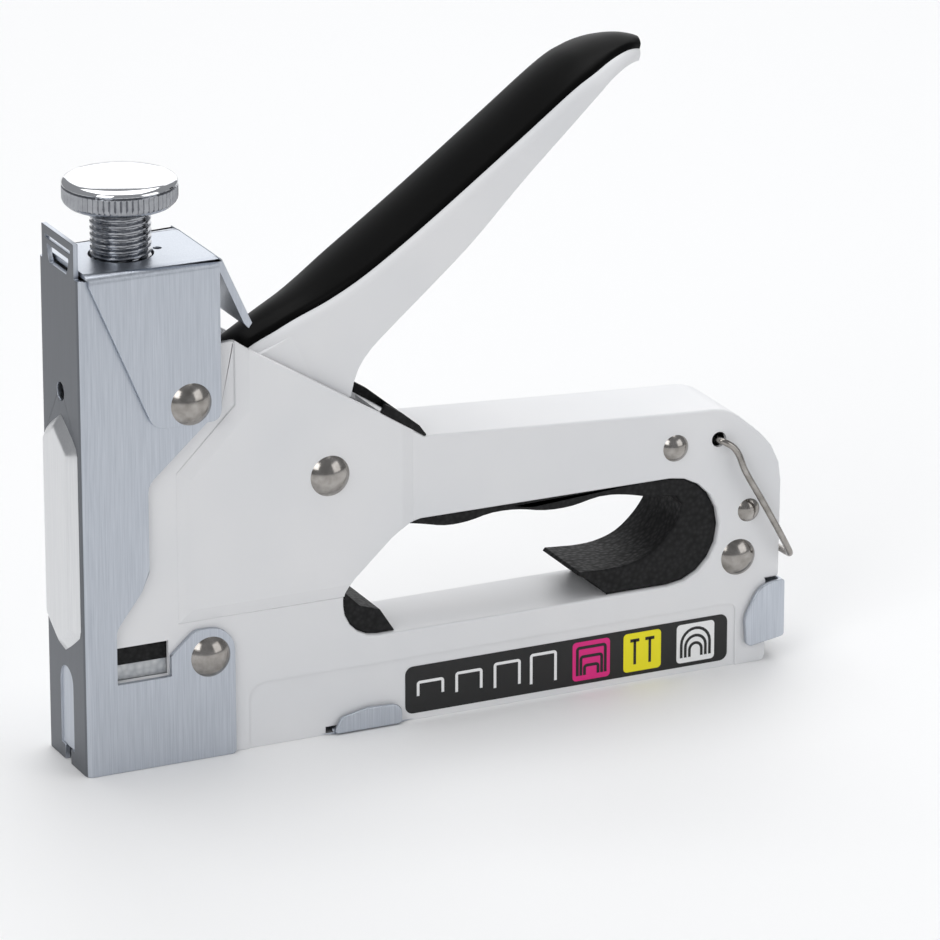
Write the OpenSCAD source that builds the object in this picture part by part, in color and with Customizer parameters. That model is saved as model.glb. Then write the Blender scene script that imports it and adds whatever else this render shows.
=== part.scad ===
// Hand staple gun: two pressed steel shells, a folded nose guard and top cover,
// a sprung hammer with a tension screw, a squeeze lever and a rear-loaded magazine.
// Drawn from the nose plate backwards: x runs nose to rear, z up, y across.

/* [Body] */
// Length from the nose plate to the back of the grip
body_l = 179.6; // [170:0.2:190]
// Width over the two shells at the bar and rail
shell_w = 21.5; // [20:0.5:24]
// Sheet thickness of the shells
shell_t = 1.2; // [0.8:0.1:1.6]
// How far the pressed panel stands out of each shell
panel_h = 1.1; // [0.6:0.1:1.3]

/* [Nose guard and cover] */
// Sheet thickness of the nose guard and the cover
guard_t = 1.2; // [1:0.1:1.4]
// Height of the nose guard's side plates
guard_h = 119.6; // [118:0.2:121]
// Height of the top of the cover
cover_h = 121.2; // [121:0.1:122]
// How far the rib stands out of the nose plate
rib_h = 2; // [1:0.1:2.4]

/* [Tension knob] */
// Outer diameter of the knurled knob
knob_d = 26.5; // [22:0.5:30]
// Outer diameter of the tension screw's thread
screw_d = 14; // [13:0.5:15]
// Pitch of the thread
screw_pitch = 1.5; // [1:0.25:2]

/* [Lever] */
// Distance from the pivot rivet to the lifting roller
lift_r = 30; // [29:0.5:31]
// Swing of the lever from open to squeezed, in degrees
squeeze = 45; // [30:1:45]

/* [Magazine] */
// Width between the staple legs' guide walls
channel_w = 13.2; // [12.6:0.1:14]
// Width of the rail that the staples ride on
rail_w = 9.2; // [8.8:0.1:9.6]

/* [Lock wire] */
// Diameter of the lock wire
wire_d = 1.6; // [1.2:0.1:2]

/* [Hidden] */

$fn = 48;
eps = 0.05;
gap = 0.1;

half_w = shell_w / 2;
shell_in = half_w - shell_t;
guard_in = half_w + gap;
guard_out = guard_in + guard_t;
cover_in = guard_out + 2 * gap;
cover_out = cover_in + guard_t;

// Outer radius of the guard's two folds
fold_r = 1.7;

// Rivet and pivot places, seen from the side
pivot = [61.5, 64.5];
cover_pin = [26.5, 87.5];
guard_pin = [31, 25];
bar_pin = [151.5, 57.5];
rear_small = [171.2, 39];
rear_large = [168.5, 27.5];
wire_hole = [163, 58];
roller = [pivot[0] - lift_r * cos(squeeze / 2), pivot[1] - lift_r * sin(squeeze / 2)];
pin_fit = 0.05;

roller_pin_r = 1.6;
// The lever's cheeks, and their slots in the stop pad and shells, inner and outer side
cheek_y = [6.9, 8.4];
cheek_slot = [6.5, 9.25];

// The screw, its spring and the hammer share one axis
screw_x = 15.4;
seat_z = 106;
seat_h = 4;
plunger_z = 30.8;
plunger_top = 60;
spring_r = 7;
spring_wire = 2;

// The lock wire's corners, seen from the side, and how far out its legs run
wire_kink = [168.7, 50];
wire_end = [181.6, 26.8];
wire_y = guard_out + 1.55;

rod_z = 8;
rod_r = 1.5;
rail_end = 166;

// Middle of the whole length, which becomes x = 0
mid_x = (wire_end[0] + wire_d / 2 - rib_h) / 2;

function unit(v) = v / norm(v);

// A polygon whose corners [x, z, radius] are rounded with true arcs
function corner(a, b, c) = let(u = unit([a[0] - b[0], a[1] - b[1]]), v = unit([c[0] - b[0], c[1] - b[1]]),
    half = acos(max(-1, min(1, u * v))) / 2, r = b[2], d = r / tan(half), n = max(2, ceil((90 - half) / 9)),
    p = [b[0], b[1]] + u * d, q = [b[0], b[1]] + v * d, m = [b[0], b[1]] + unit(u + v) * r / sin(half),
    s = atan2(p[1] - m[1], p[0] - m[0]), e0 = atan2(q[1] - m[1], q[0] - m[0]) - s,
    e = e0 > 180 ? e0 - 360 : e0 < -180 ? e0 + 360 : e0)
    r <= 0 ? [[b[0], b[1]]] : [for (i = [0 : n]) m + r * [cos(s + e * i / n), sin(s + e * i / n)]];
function rounded(pts) = let(n = len(pts)) [for (i = [0 : n - 1])
    each corner(pts[(i + n - 1) % n], pts[i], pts[(i + 1) % n])];

// The same polygon moved inwards by t; its corners run anticlockwise
function inset(pts, t) = let(n = len(pts)) [for (i = [0 : n - 1])
    let(a = pts[(i + n - 1) % n], b = pts[i], c = pts[(i + 1) % n],
        d1 = unit([b[0] - a[0], b[1] - a[1]]), d2 = unit([c[0] - b[0], c[1] - b[1]]),
        n1 = [-d1[1], d1[0]], n2 = [-d2[1], d2[0]], m = (n1 + n2) / (1 + n1 * n2),
        turn = d1[0] * d2[1] - d1[1] * d2[0])
    [b[0] + t * m[0], b[1] + t * m[1], b[2] <= 0 ? 0 : max(0.2, b[2] - t * sign(turn))]];

// A smooth line through open points, n steps a stretch
function blend4(a, b, c, d, t) = 0.5 * ((2 * b) + (c - a) * t + (2 * a - 5 * b + 4 * c - d) * t * t
    + (3 * b - a - 3 * c + d) * t * t * t);
function smooth(p, n) = let(k = len(p) - 1) [for (i = [0 : k - 1], j = [0 : n - 1])
    blend4(p[max(0, i - 1)], p[i], p[i + 1], p[min(k, i + 2)], j / n), p[k]];

// A side outline given thickness from y0 to y1
module side(y0, y1, pts) translate([0, y1, 0]) rotate([90, 0, 0]) linear_extrude(y1 - y0) polygon(pts);
module both(y0, y1, pts) {
    side(y0, y1, pts);
    side(-y1, -y0, pts);
}
// A cylinder across the tool
module across(p, r, y0, y1) translate([p[0], y1, p[1]]) rotate([90, 0, 0]) cylinder(r = r, h = y1 - y0);
module block(x0, x1, y0, y1, z0, z1) translate([x0, y0, z0]) cube([x1 - x0, y1 - y0, z1 - z0]);
// A block whose y runs from a to b on the side s
module block_in(s, x0, x1, a, b, z0, z1) block(x0, x1, min(s * a, s * b), max(s * a, s * b), z0, z1);
module side_in(s, a, b, pts) side(min(s * a, s * b), max(s * a, s * b), pts);

// Outline of the pressed shells: rail, grip, bar, shoulder, and the part inside guard and cover
shell_line = [[1.6, 0, 0], [176, 0, 1.5], [176, 20.8, 0], [body_l, 20.8, 0.6], [body_l + 0.4, 53, 17],
              [165.5, 65.5, 12], [152, 66.2, 9], [86, 70.3, 0], [75, 77.4, 0], [41.5, 98, 3], [38.5, 100.2, 2],
              [34.4, 100.2, 0], [34.4, 84, 0], [32.5, 84, 0], [32.5, 118, 3], [1.6, 118, 0]];
// Finger loop between bar and rail
loop_line = [[65.2, 22.8, 9], [163.3, 22.8, 13.2], [163.3, 50, 13.4], [80.5, 50, 12], [65.2, 36, 7]];
// Window low in the nose, just above the magazine
window = [8.2, 21, 21.8, 30.2];

// Raised panel of each shell; shoulder and finger loop cut it off, and the rest slopes down
panel_line = [[26.8, 37, 2], [72, 37, 0], [79.8, 45, 0], [79.8, 78, 0], [75, 81, 0], [41.5, 101, 0],
              [41.5, 83.5, 2], [26.8, 69, 2]];

// Width of the slope around it
panel_slope = 3.2;

module panel(s) {
    low = inset(panel_line, -panel_slope);
    for (part = [[0, 1, 2, 3, 4], [0, 4, 6, 7], [4, 5, 6]]) hull() {
        side(s * half_w - eps, s * half_w + eps, [for (i = part) [low[i][0], low[i][1]]]);
        side_in(s, half_w + panel_h - eps, half_w + panel_h,
                [for (i = part) [panel_line[i][0], panel_line[i][1]]]);
    }
}

// Shallow pocket for the size label, open below
pocket_line = [[41, -5, 0], [168, -5, 0], [168, 16, 2], [41, 16, 4]];
pocket_t = 0.35;

module shell(s) {
    slot_w = channel_w / 2 + 1.2;
    difference() {
        union() {
            difference() {
                side_in(s, 0, half_w, rounded(shell_line));
                difference() {
                    side_in(s, -eps, shell_in, rounded(inset(shell_line, shell_t)));
                    side(-half_w, half_w, rounded(inset(loop_line, -shell_t)));
                }
            }
            intersection() {
                panel(s);
                side(-30, 30, rounded(shell_line));
            }
        }
        side(-30, 30, rounded(loop_line));
        // open to the nose and under the cover
        block_in(s, 0, 33.6, -1, shell_in, -1, 119);
        // open top for the lever, and the rail's open underside and back
        block_in(s, 32, 76.2, -1, shell_in, 74, 104);
        block_in(s, 0, 180, -1, slot_w, -1, 1.3);
        block_in(s, 170, 178, -1, slot_w, -1, 18.4);
        // rivet holes, lock wire hole and window
        for (p = [cover_pin, guard_pin, pivot]) across(p, 3 + pin_fit, -30, 30);
        for (p = [bar_pin, rear_small]) across(p, 2 + pin_fit, -30, 30);
        across(rear_large, 2.6 + pin_fit, -30, 30);
        across(wire_hole, 1.9, -30, 30);
        block(window[0], window[1], -30, 30, window[2], window[3]);
        side_in(s, half_w - pocket_t, half_w + 1, rounded(pocket_line));
        // slots that the lever's cheeks drop into
        block_in(s, 74, 84.2, cheek_slot[0], cheek_slot[1], 64, 82);
        // notch for the catch on one side
        if (s < 0) block(60.5, 80, -30, -channel_w / 2, -1, 2);
    }
}

module left_shell() color("white") shell(-1);
module right_shell() color("white") shell(1);

// Side plate of the nose guard: low foot with a round ear, slot for the window, tall front strip
guard_line = [[0, 0, 1], [37.2, 0, 1], [37.2, 31.9, 6.2], [27.2, 31.9, 3], [21.2, 26.6, 0], [21.2, 21.7, 0],
              [7.8, 21.7, 0], [7.8, 35, 4], [14.2, 43.4, 4], [16.2, 48, 3], [16.2, 69, 4], [31.5, 82.5, 0],
              [33, 84, 0], [33, guard_h, 2], [0, guard_h, 0]];
// The tab above it: width and top
nose_tab = [19, 127.8];
// Width and ends of the nose plate's rib, and the shallow slot below it
rib_w = 18.8;
rib_z = [28, 84.5];
slot_r = 3.9;
slot_top = 23.6;
slot_depth = 0.4;

// A bend of radius r between nose plate and side plate
module fold(s, z, r, h) translate([fold_r, s * (guard_out - fold_r), z]) cylinder(r = r, h = h);

module front_guard() color("lightsteelblue") {
    difference() {
        union() {
            both(guard_in, guard_out, rounded(guard_line));
            block(0, guard_t, -guard_out + fold_r, guard_out - fold_r, 0, guard_h);
            // rounded folds
            for (s = [-1, 1]) intersection() {
                difference() {
                    fold(s, 0, fold_r, guard_h);
                    fold(s, -1, fold_r - guard_t, guard_h + 2);
                }
                block_in(s, 0, fold_r, guard_out - fold_r, guard_out, 0, guard_h);
            }
            // top tab that keeps the cover's front edge down
            block(0, guard_t, -nose_tab[0] / 2, nose_tab[0] / 2, guard_h, nose_tab[1]);
            // long rib with pointed ends
            hull() {
                block(0, gap, -rib_w / 2, rib_w / 2, rib_z[0] + 6, rib_z[1] - 6.5);
                block(0, gap, -0.4, 0.4, rib_z[0], rib_z[1]);
                block(-rib_h, 0, -rib_w / 2 + 2.6, rib_w / 2 - 2.6, rib_z[0] + 7.5, rib_z[1] - 8);
                block(-rib_h, 0, -0.3, 0.3, rib_z[0] + 3.5, rib_z[1] - 2.7);
            }
        }
        // the side plates' own front corners lie outside the folds
        for (s = [-1, 1]) difference() {
            block_in(s, -1, fold_r, guard_out - fold_r, guard_out + 1, -1, nose_tab[1]);
            fold(s, -2, fold_r, nose_tab[1] + 4);
        }
        // hollow back of the rib
        hull() {
            block(guard_t, guard_t + gap, -rib_w / 2 + 1, rib_w / 2 - 1, rib_z[0] + 7, rib_z[1] - 7.5);
            block(-rib_h + 1, guard_t, -rib_w / 2 + 3.6, rib_w / 2 - 3.6, rib_z[0] + 8.5, rib_z[1] - 9);
        }
        // half-round opening and slit below the top tab, small screwdriver hole
        translate([-1, 0, 123.6]) rotate([0, 90, 0]) intersection() {
            cylinder(r = 6.4, h = 4);
            translate([0, -8, 0]) cube([4, 16, 4]);
        }
        block(-1, 3, -7.5, 7.5, 125, 125.8);
        translate([-1, 0, 90.4]) rotate([0, 90, 0]) cylinder(r = 2.2, h = 4);
        // staple exit gap and shallow lower slot with a round top
        block(-1, 3, -1.8, 1.8, -1, 3.6);
        block(-1, slot_depth, -slot_r, slot_r, 3.6, slot_top - slot_r);
        translate([-1, 0, slot_top - slot_r]) rotate([0, 90, 0]) cylinder(r = slot_r, h = 1 + slot_depth);
        for (p = [guard_pin, cover_pin]) across(p, 3 + pin_fit, -30, 30);
    }
}

// Outer radius of the bends between the cover's top and sides
bend_r = 2.4;
cover_side = [[2.2, cover_h, 0], [2.2, 118.4, 0], [17.4, 82.6, 4], [34, 82.6, 2.4], [34, cover_h, 0]];
module top_cover() color("lightsteelblue") {
    difference() {
        union() {
            both(cover_in, cover_out, rounded(cover_side));
            block(1.6, 34, -cover_out, cover_out, cover_h - guard_t, cover_h);
        }
        translate([screw_x, 0, 100]) cylinder(r = screw_d / 2 + 0.5, h = 30);
        translate([screw_x + 8.9, 0, 100]) cylinder(r = 1, h = 30);
        across(cover_pin, 3 + pin_fit, -30, 30);
        // round bends between top and sides
        for (s = [-1, 1]) difference() {
            block_in(s, 0, 40, cover_out - bend_r, cover_out + 1, cover_h - bend_r, cover_h + 1);
            translate([-1, s * (cover_out - bend_r), cover_h - bend_r]) rotate([0, 90, 0])
                cylinder(r = bend_r, h = 42);
        }
    }
    // lip folded down behind the cover, over the lever
    side(-cover_out + 1.2, cover_out - 1.2, [[33.9, cover_h], [33.9, cover_h - 2.4], [40.2, 104.6],
                                             [41.4, 103.2], [42.3, 104.4], [35, cover_h - 0.6]]);
}

module cover_nut() color("dimgray") difference() {
    translate([screw_x, 0, 112.6]) intersection() {
        cylinder(r = 12.4, h = cover_h - guard_t - 112.6);
        translate([-11.5, -9.2, -1]) cube([23, 18.4, 20]);
    }
    translate([screw_x, 0, 100]) cylinder(r = screw_d / 2 + pin_fit, h = 30);
}

module spring_seat() color("dimgray") {
    translate([screw_x, 0, seat_z]) cylinder(r = 8.2, h = seat_h);
    translate([screw_x, 0, seat_z - 6]) cylinder(r = 4.6, h = 6.1);
}

// Knurled head: rim and shallow dome turned in one piece, on a threaded shank
knob_z = [132.2, 134.9, 138.1, 140.3];
neck_r = 8.5;
knurls = 48;
thread_h = 0.8;
module tension_knob() color("gainsboro") translate([screw_x, 0, 0]) {
    rim = knob_d / 2;
    root = screw_d / 2 - thread_h;
    foot = seat_z + seat_h + gap;
    difference() {
        rotate_extrude($fn = 96) polygon(concat([[0, knob_z[0]], [neck_r, knob_z[0]]],
            [for (a = [0 : 30 : 90])
                [neck_r + (rim - neck_r) * sin(a), knob_z[1] - (knob_z[1] - knob_z[0]) * cos(a)]],
            [[rim, knob_z[2]]],
            [for (a = [0 : 10 : 80])
                [(rim - 0.9) * cos(a) + 0.4 * (1 - sin(a)), knob_z[3] - 1.9 * (1 - sin(a))]],
            [[0, knob_z[3]]]));
        for (i = [0 : knurls - 1]) rotate(i * 360 / knurls) translate([rim + 0.25, 0, knob_z[0] + 1.4])
            rotate(45) cube([0.8, 0.8, 4.2]);
    }
    rotate_extrude() polygon(concat([[0, foot], [root, foot]],
        [for (i = [0 : 13], p = [[0, 0.2], [thread_h, 0.75], [thread_h, 0.95], [0, 1.5]])
            [root + p[0], foot + 0.3 + i * screw_pitch + p[1] * screw_pitch / 1.5]],
        [[root, knob_z[0] + gap], [0, knob_z[0] + gap]]));
}

// A round wire swept along a coil, closed at both ends
module coil(turns, r, wire_r, length, steps, sides) {
    n = turns * steps;
    ring = [for (i = [0 : n]) let(a = 360 * i / steps, z = wire_r + (length - 2 * wire_r) * i / n)
        for (k = [0 : sides - 1]) let(b = 360 * k / sides)
            [(r + wire_r * cos(b)) * cos(a), (r + wire_r * cos(b)) * sin(a), z + wire_r * sin(b)]];
    polyhedron(ring, concat(
        [[for (k = [0 : sides - 1]) k], [for (k = [0 : sides - 1]) n * sides + sides - 1 - k]],
        [for (i = [0 : n - 1], k = [0 : sides - 1])
            [i * sides + k, (i + 1) * sides + k, (i + 1) * sides + (k + 1) % sides, i * sides + (k + 1) % sides]]));
}

module main_spring() color("silver") translate([screw_x, 0, plunger_top + 0.1])
    coil(6, spring_r, spring_wire / 2, seat_z - plunger_top - 0.2, 16, 8);

// Hammer block with a hooked lug that the lifting roller carries
module plunger() color("dimgray") difference() {
    union() {
        block(5, 23.4, -9, 9, plunger_z, plunger_top);
        block(23, 41, -6.3, 6.3, roller[1] - 5.6, roller[1] + 5.6);
    }
    translate([screw_x, 0, plunger_top - 14]) cylinder(r = 4.2, h = 20);
    block(roller[0] - 5.6, 45, -10, 10, roller[1] - 2.8, roller[1] + 2.8);
    block(-1, 5.6, -5.9, 5.9, plunger_z - 1, plunger_top - 8);
}

module driver_blade() color("gainsboro") {
    block(1.7, 2.9, -5.4, 5.4, 1, plunger_top - 8.2);
    block(2.8, 5.5, -5.4, 5.4, plunger_top - 14, plunger_top - 8.2);
}

module buffer_pad() color("black") difference() {
    block(7.6, 22, -9.3, 9.3, 25.6, 30.4);
    block(7, 8.4, -7, 7, 20, 34);
}
module buffer_bracket() color("silver") difference() {
    block(7.6, 22, -9.3, 9.3, 18.2, 25.5);
    block(9.2, 30, -7.6, 7.6, 17, 23.6);
}

// Lever seen from the side: crown line, tip, underside with the hollow behind the shoulder
crown = smooth([[37.6, 91.6], [42.9, 95.9], [51.7, 100.6], [64.6, 107.3], [84.2, 120.2], [108.8, 138],
                [124.2, 149.3], [131.9, 153.7], [138.4, 155.4], [143.4, 155], [148.2, 152.6]], 4);
under = smooth([[146.8, 150.2], [143.6, 152], [139.6, 152.4], [135.6, 151.2], [131.2, 148.6],
                [122.8, 140.9], [110.1, 128.9], [97.6, 116.2], [85, 105.2], [77, 98.1], [72, 92.7],
                [69.3, 87.8], [67.8, 80.3]], 4);
lever_lean = 36.7;
lever_heel = [43, 96];

// Half width of the lever along its lean, from the shoulders to the rounded tip
plan_line = [[-60, 7.2], [-4, 7.2], [8, 8.2], [15, 8.9], [23, 10.6], [34, 12], [60, 12.3], [96, 12.4],
             [104, 11.8], [110.5, 9.6], [114.5, 7.2], [116.8, 4.6]];
function plan(t) = let(h = smooth(plan_line, 4))
    concat([for (p = h) [p[0], p[1] - t]], [for (i = [len(h) - 1 : -1 : 0]) [h[i][0], t - h[i][1]]]);
module plan_prism(t) translate([lever_heel[0], 0, lever_heel[1]]) rotate([0, -lever_lean, 0])
    translate([0, 0, -60]) linear_extrude(120) polygon(plan(t));

// A band along the crown, from the offset a outside it to the offset b inside it
function crown_band(a, b) = concat([for (p = crown) p + a], [for (i = [len(crown) - 1 : -1 : 0]) crown[i] + b]);

module handle_lever() color("white") difference() {
    union() {
        // grip shell: full outline trimmed to its plan, hollow below
        difference() {
            intersection() {
                side(-20, 20, concat(crown, under, [[66, 82], [50, 88]]));
                plan_prism(0);
            }
            intersection() {
                translate([1.3, 0, -2.6])
                    side(-20, 20, concat(crown, [for (p = under) p + [2, -12]], [[64, 60], [40, 70]]));
                plan_prism(1.5);
            }
            // seat for the soft grip
            intersection() {
                side(-20, 20, crown_band([-0.6, 0.8], [0.7, -1]));
                plan_prism(1.1);
            }
        }
        // two cheeks inside the shells, out to the roller
        for (s = [-1, 1]) side_in(s, cheek_y[0], cheek_y[1],
            concat([[38.6, 90.6], [43.5, 94.2], [66, 104], [76, 99], [72, 92.7], [69.3, 87.8], [67.8, 80.3]],
                   [for (a = [20 : -20 : -80]) pivot + 9 * [cos(a), sin(a)]],
                   [for (a = [-80 : -25 : -205]) roller + 5.2 * [cos(a), sin(a)]]));
    }
    across(pivot, 3 + pin_fit, -30, 30);
    across(roller, roller_pin_r, -30, 30);
}

// The soft grip: a band over the lever's back, arched along its middle
module handle_grip() color("black") {
    intersection() {
        side(-20, 20, crown_band([-0.7, 1], [0.55, -0.8]));
        plan_prism(1.2);
    }
    intersection() {
        side(-20, 20, crown_band([-1.4, 1.9], [-0.3, 0.5]));
        plan_prism(4.4);
    }
}

module lift_roller() color("silver") {
    across(roller, 2.5, -cheek_y[0] + 0.3, cheek_y[0] - 0.3);
    across(roller, roller_pin_r - 0.02, -cheek_y[1], cheek_y[1]);
}

module pivot_bush() color("dimgray") difference() {
    across(pivot, 4.6, -6.7, 6.7);
    across(pivot, 3 + pin_fit, -7, 7);
}

// Domed rivet head on each side of a plain shank
module rivet(p, r_shank, r_head, h_head, y) {
    across(p, r_shank, -y - 0.1, y + 0.1);
    for (s = [-1, 1]) translate([p[0], s * y, p[1]]) rotate([-90 * s, 0, 0]) intersection() {
        translate([0, 0, h_head - (r_head * r_head + h_head * h_head) / (2 * h_head)])
            sphere(r = (r_head * r_head + h_head * h_head) / (2 * h_head), $fn = 64);
        cylinder(r = r_head, h = h_head + 1);
    }
}

module pivot_rivet() color("gray") rivet(pivot, 3, 4.9, 2.2, half_w + panel_h);
module cover_rivet() color("gray") rivet(cover_pin, 3, 5, 2.2, cover_out);
module guard_rivet() color("gray") rivet(guard_pin, 3, 4.9, 2.2, guard_out);
module bar_rivet() color("gray") rivet(bar_pin, 2, 3.3, 1.6, half_w);
module rear_rivets() color("gray") {
    rivet(rear_small, 2, 2.9, 1.2, half_w);
    rivet(rear_large, 2.6, 4.5, 1.9, half_w);
}

module rivet_spacers() color("dimgray") {
    for (q = [[bar_pin, 3.4, 2], [rear_small, 3.2, 2], [rear_large, 4, 2.6]]) difference() {
        across(q[0], q[1], -shell_in + eps, shell_in - eps);
        across(q[0], q[2] + pin_fit, -20, 20);
    }
    for (p = [guard_pin, cover_pin]) difference() {
        across(p, p == cover_pin ? 3.6 : 4.2, p == cover_pin ? -6 : -shell_in + eps,
               p == cover_pin ? 6 : shell_in - eps);
        across(p, 3 + pin_fit, -20, 20);
    }
}

// Rubber stop that the lever's flanges land on: a strip on each side, joined at the back
module stop_pad() color("black") difference() {
    side(-half_w, half_w, [[75.3, 77.3], [76.4, 79.2], [80.6, 76.5], [84.8, 73], [86.5, 70.6],
                           [86, 69.4], [75, 76]]);
    side(-20, 20, rounded(shell_line));
    block(70, 84.2, -cheek_slot[1], cheek_slot[1], 60, 90);
}

// Soft liner inside the finger loop: waves for the fingers above, a C behind
liner_wave = smooth([[82.5, 48.9], [86, 48.2], [92, 46.9], [98, 47], [104.5, 48.1], [111, 47.8], [118, 46.5],
                     [125, 46.5], [132.5, 47.8], [139, 47.2], [146, 45.6], [152.4, 45]], 3);
liner_back = smooth([[154, 42.5], [153, 39], [150, 35], [145.5, 31.4], [140, 29.6], [134, 29.3],
                     [127, 29.7]], 3);
module grip_liner() color("black") intersection() {
    side(-shell_in, shell_in, concat(liner_wave, liner_back,
        [[126.4, 29], [131, 26.4], [135, 22], [170, 22], [170, 54], [82, 54], [80.5, 50]]));
    side(-20, 20, rounded(inset(loop_line, eps)));
}
module liner_corner() color("black") intersection() {
    side(-shell_in, shell_in, [[64, 34.8], [66.4, 34], [70, 30.4], [75.2, 28.6], [79.4, 22], [60, 20]]);
    side(-20, 20, rounded(inset(loop_line, eps)));
}

// Folded channel that guides the staple legs; open below for loading
module magazine_channel() color("silver") difference() {
    block(3.4, rail_end, -channel_w / 2 - 0.9, channel_w / 2 + 0.9, 0.6, 17);
    block(3, rail_end + 1, -channel_w / 2, channel_w / 2, 0, 16.1);
}

module staple_rail() color("silver") difference() {
    block(3.6, rail_end, -rail_w / 2, rail_w / 2, 2, 14);
    block(3, rail_end + 1, -rail_w / 2 + 0.8, rail_w / 2 - 0.8, 1, 13.2);
}

module staple_follower() color("gray") difference() {
    block(12, 26, -channel_w / 2 + 0.3, channel_w / 2 - 0.3, 0.7, 15.8);
    difference() {
        block(11, 27, -rail_w / 2 - 0.25, rail_w / 2 + 0.25, 1.7, 14.3);
        block(11, 27, -rail_w / 2 + 1.1, rail_w / 2 - 1.1, 1, 12.9);
    }
    translate([11, 0, rod_z]) rotate([0, 90, 0]) cylinder(r = rod_r + pin_fit, h = 20);
}

module pusher_spring() color("silver") translate([26.2, 0, rod_z]) rotate([0, 90, 0])
    coil(26, 2.5, 0.35, 137, 8, 4);

module pusher_rod() color("silver") {
    translate([14, 0, rod_z]) rotate([0, 90, 0]) cylinder(r = rod_r, h = body_l - 14.2);
    translate([163.4, 0, rod_z]) rotate([0, 90, 0]) cylinder(r = 3.2, h = 2);
}

// Thumb clip that closes the back of the magazine and pulls the follower out
clip_line = [[170.4, 4.4, 1.5], [180.6, 6, 1], [180.6, 20.5, 0.8], [174, 20.1, 6], [169.8, 12, 4]];
module magazine_clip() color("lightsteelblue") {
    difference() {
        side(-half_w - 1.5, half_w + 1.5, rounded(clip_line));
        block(150, body_l - 0.2, -half_w - 0.3, half_w + 0.3, -1, 40);
        translate([body_l - 1, 0, rod_z]) rotate([0, 90, 0]) cylinder(r = rod_r + 0.02, h = 0.8);
    }
}

catch_line = [[61.8, 0.3, 0.8], [79.6, 0.3, 1], [79.6, 5.2, 2.4], [71, 5.6, 2], [64.2, 4.2, 1.5]];
module channel_catch() color("lightsteelblue") {
    side(-guard_out, -half_w - 0.15, rounded(catch_line));
    block(62.4, 79, -half_w - 0.3, -channel_w / 2 - 0.95, 0.3, 1.4);
}

// A round wire swept along points, closed at both ends
function way(p, i) = let(k = len(p) - 1)
    unit(unit(p[min(k, i + 1)] - p[min(k - 1, i)]) + unit(p[max(1, i)] - p[max(0, i - 1)]));
module wire(points, d, sides) {
    n = len(points);
    ring = [for (i = [0 : n - 1]) let(t = way(points, i), u = unit(cross(t, [0.3, 0.1, 1])), v = cross(t, u))
        for (k = [0 : sides - 1]) points[i] + d / 2 * (cos(360 * k / sides) * u + sin(360 * k / sides) * v)];
    polyhedron(ring, concat([[for (k = [0 : sides - 1]) k], [for (k = [0 : sides - 1]) n * sides - 1 - k]],
        [for (i = [0 : n - 2], k = [0 : sides - 1])
            [i * sides + k, (i + 1) * sides + k, (i + 1) * sides + (k + 1) % sides, i * sides + (k + 1) % sides]]));
}
// Wire bail: two legs from the holes, flared past the sides, joined behind the grip
function leg(s) = smooth([[wire_hole[0], s * (half_w + 1), wire_hole[1]], [166, s * (half_w + 1.5), 56.6],
    [wire_kink[0], s * wire_y, wire_kink[1]], [173.4, s * wire_y, 41.8],
    [wire_end[0] - 1, s * wire_y, wire_end[1] + 1.8], [wire_end[0], s * (wire_y - 2), wire_end[1]]], 3);
module lock_wire() color("gray") {
    wire(concat(leg(-1), [for (i = [len(leg(1)) - 1 : -1 : 0]) leg(1)[i]]), wire_d, 10);
    for (y = [-half_w - 1.3, shell_in + 0.2]) across(wire_hole, wire_d / 2, y, y + 2.3);
}

label_line = [[81, 1.6, 2], [166, 1.6, 2], [166, 13.4, 2], [81, 13.4, 2]];
module size_labels() color("black") both(half_w - pocket_t, half_w - pocket_t + 0.2, rounded(label_line));

module placed() translate([-mid_x, 0, 0]) children();

placed() left_shell();
placed() right_shell();
placed() front_guard();
placed() top_cover();
placed() cover_nut();
placed() spring_seat();
placed() tension_knob();
placed() main_spring();
placed() plunger();
placed() driver_blade();
placed() buffer_pad();
placed() buffer_bracket();
placed() handle_lever();
placed() handle_grip();
placed() lift_roller();
placed() pivot_bush();
placed() pivot_rivet();
placed() cover_rivet();
placed() guard_rivet();
placed() bar_rivet();
placed() rear_rivets();
placed() rivet_spacers();
placed() stop_pad();
placed() grip_liner();
placed() liner_corner();
placed() magazine_channel();
placed() staple_rail();
placed() staple_follower();
placed() pusher_spring();
placed() pusher_rod();
placed() magazine_clip();
placed() channel_catch();
placed() lock_wire();
placed() size_labels();
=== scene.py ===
from math import asin, ceil, cos, pi, radians, sin, sqrt

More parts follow.
